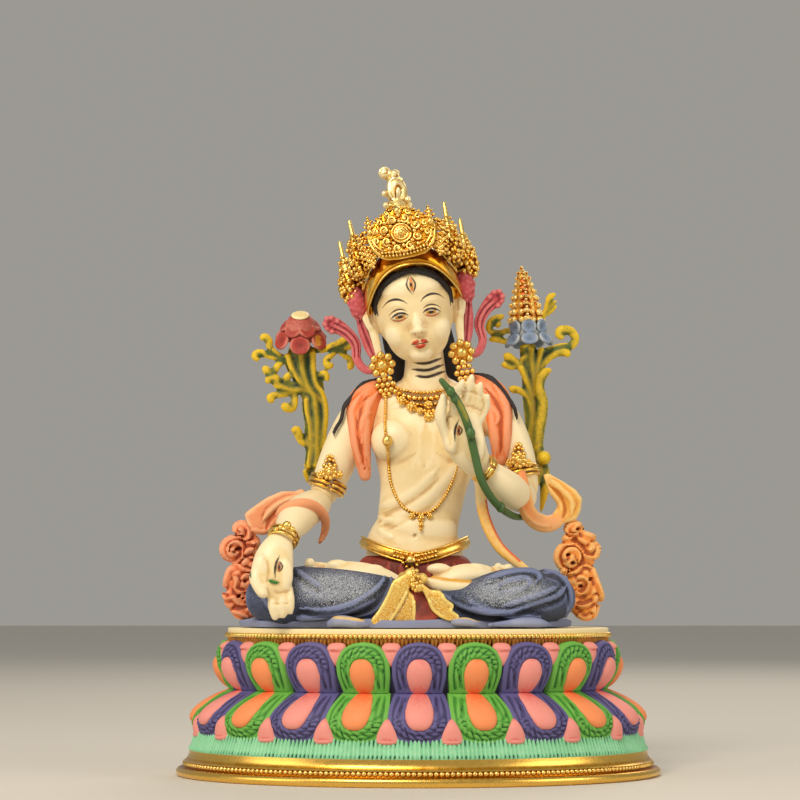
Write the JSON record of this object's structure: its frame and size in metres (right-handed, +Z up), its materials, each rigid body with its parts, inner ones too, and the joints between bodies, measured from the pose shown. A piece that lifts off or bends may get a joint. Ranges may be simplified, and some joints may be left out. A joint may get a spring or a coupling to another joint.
{
  "type": "seated tara figure on a double-lotus plinth",
  "caption": "Painted and gilt seated figure on an oval double-lotus plinth, lotus stalks behind the elbows, right hand lowered, left hand raised with a stem.",
  "frame": {"origin": "middle of the plinth's underside", "axes": "+Z up, the figure faces -Y, +X is the figure's left"},
  "size_m": [0.1546, 0.114, 0.1968],
  "materials": {
    "skin_paint": "cream paint over cast resin, satin, ochre wash in the hollows",
    "hair_paint": "near-black paint, dry, lightly brushed on the locks",
    "gilt": "gold paint over cast relief, bright on the beads, brown-orange in the hollows",
    "ribbon_paint": "rose-coral matt paint",
    "scarf_paint": "orange matt paint, peach on the raised parts",
    "trouser_paint": "slate-blue paint with a fine sandy grain, dusted pale on the raised parts",
    "cloth_red_paint": "dark red-brown matt paint",
    "leaf_paint": "yellow paint dry-brushed over dark green",
    "red_lotus_paint": "brick-red matt paint with pale rims",
    "blue_lotus_paint": "grey-blue matt paint with pale rims",
    "stem_paint": "dark green paint, rough",
    "petal_violet": "violet-navy matt paint",
    "petal_green": "leaf-green matt paint",
    "petal_pink": "salmon-pink matt paint",
    "drop_orange": "orange matt paint",
    "band_mint": "pale mint paint, dark teal in the flutes",
    "plate_cream": "cream-gold paint"
  },
  "bodies": {
    "root": {"lotus_plinth": "petal_violet", "figure": "skin_paint", "red_lotus_stalk": "leaf_paint", "blue_lotus_stalk": "leaf_paint", "held_stem": "stem_paint"}
  },
  "joints": []
}
